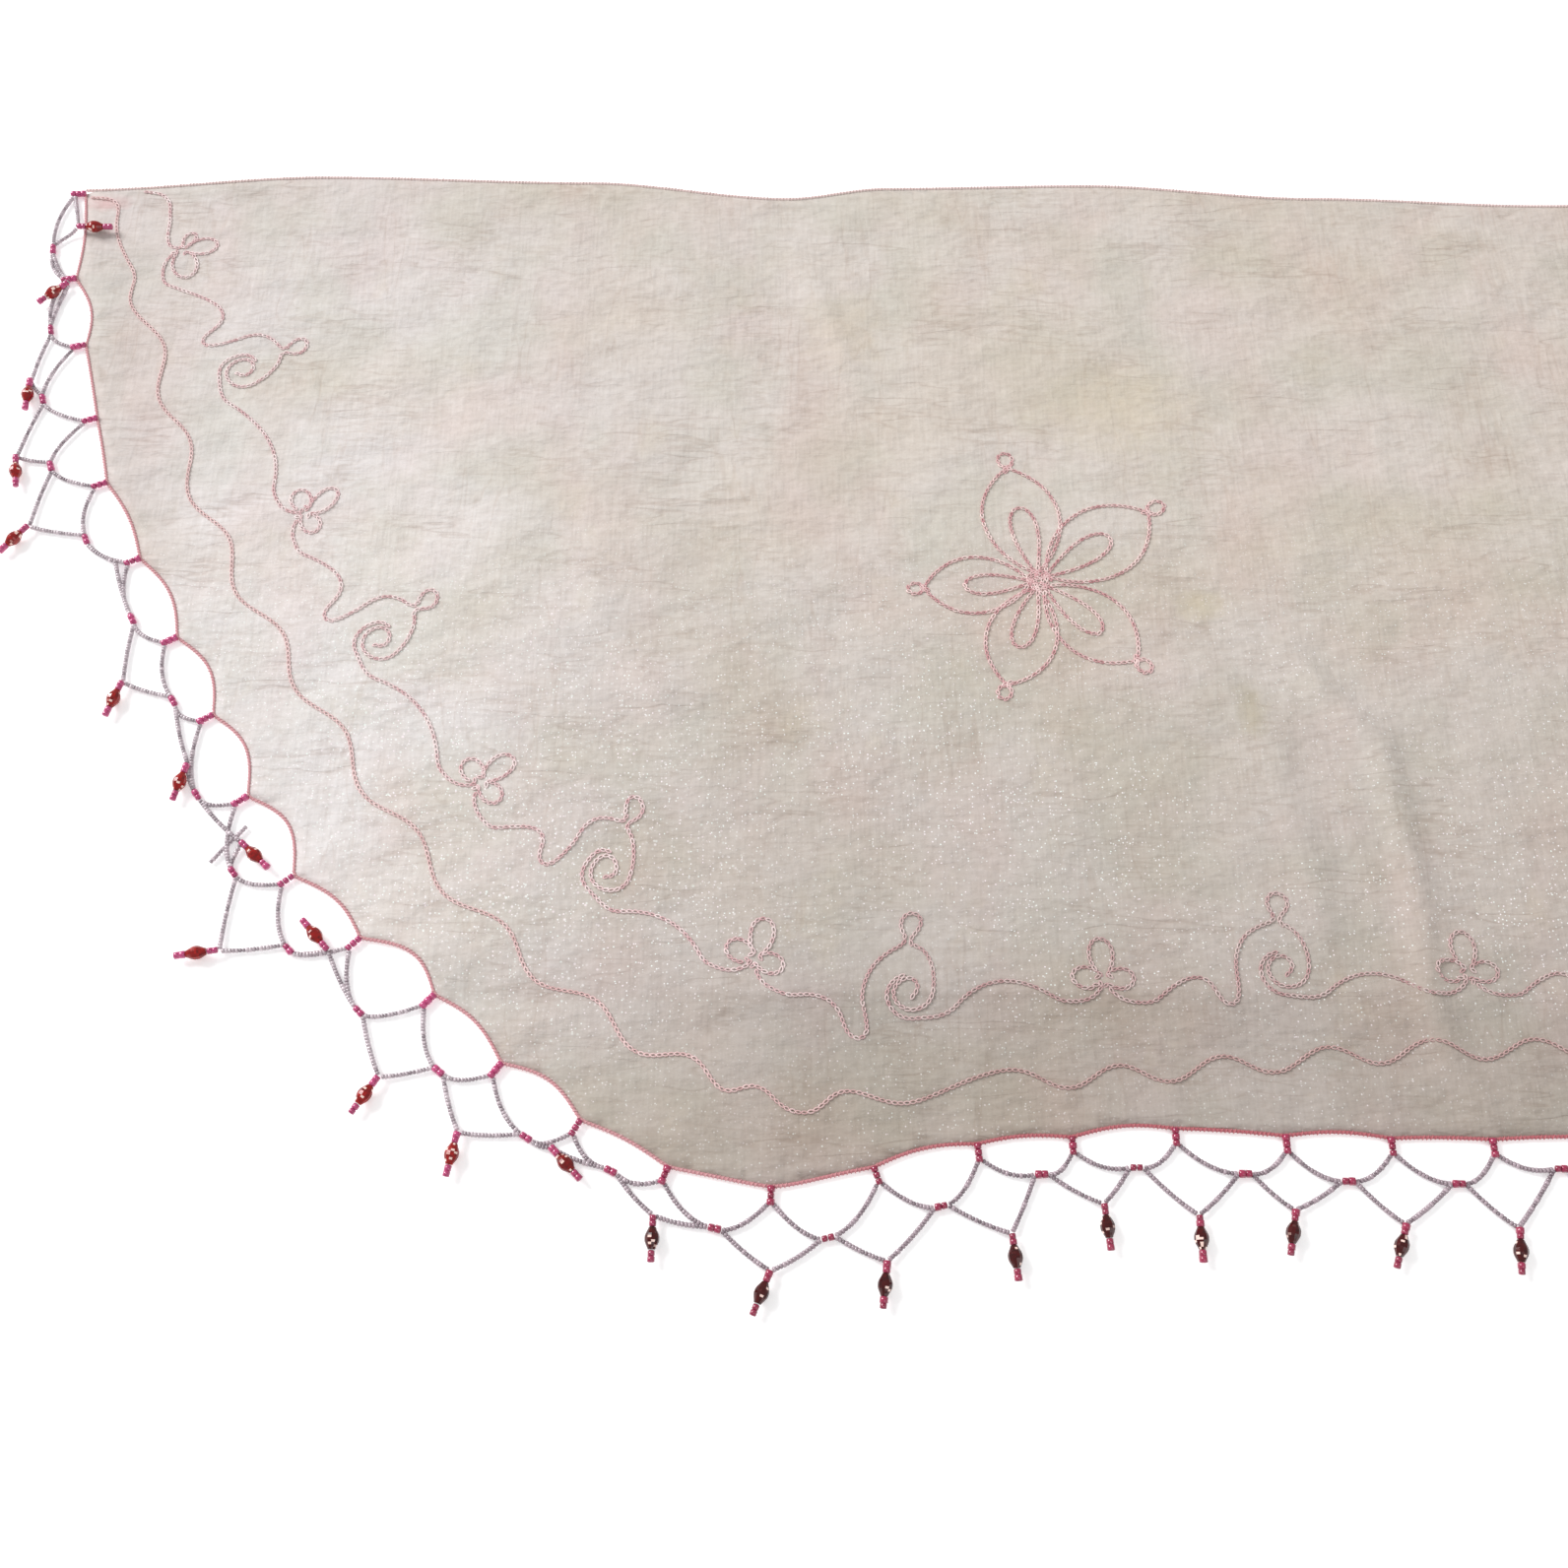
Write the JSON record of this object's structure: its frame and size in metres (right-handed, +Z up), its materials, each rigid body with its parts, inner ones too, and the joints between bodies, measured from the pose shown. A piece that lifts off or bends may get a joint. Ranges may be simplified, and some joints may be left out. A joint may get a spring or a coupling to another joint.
{
  "type": "fringed scarf",
  "caption": "Long sheer scarf with a straight top edge, rounded ends and a rolled hem, stitched with scrolls and flowers, with a beaded net fringe and drops along its curved edge.",
  "frame": {"origin": "middle of the scarf's box at the surface it lies on", "axes": "+X along the length, +Y from the fringed edge to the straight edge, +Z up out of the embroidered face"},
  "size_m": [1.5998, 0.5868, 0.0082],
  "materials": {
    "cloth": "sheer crinkled chiffon",
    "hem": "rolled and overlocked thread",
    "net": "lilac crystal seed beads",
    "embroidery": "lustrous chain stitch",
    "pink_bead": "glossy pink glass",
    "red_bead": "faceted red glass"
  },
  "bodies": {
    "root": {"cloth_panel": "cloth", "hem_top": "hem", "fringe_left_top": "net", "fringe_left_low": "net", "fringe_left_corner": "net", "fringe_bottom_left": "net", "fringe_bottom_right": "net", "fringe_right_corner": "net", "fringe_right_low": "net", "fringe_right_top": "net"}
  },
  "joints": []
}
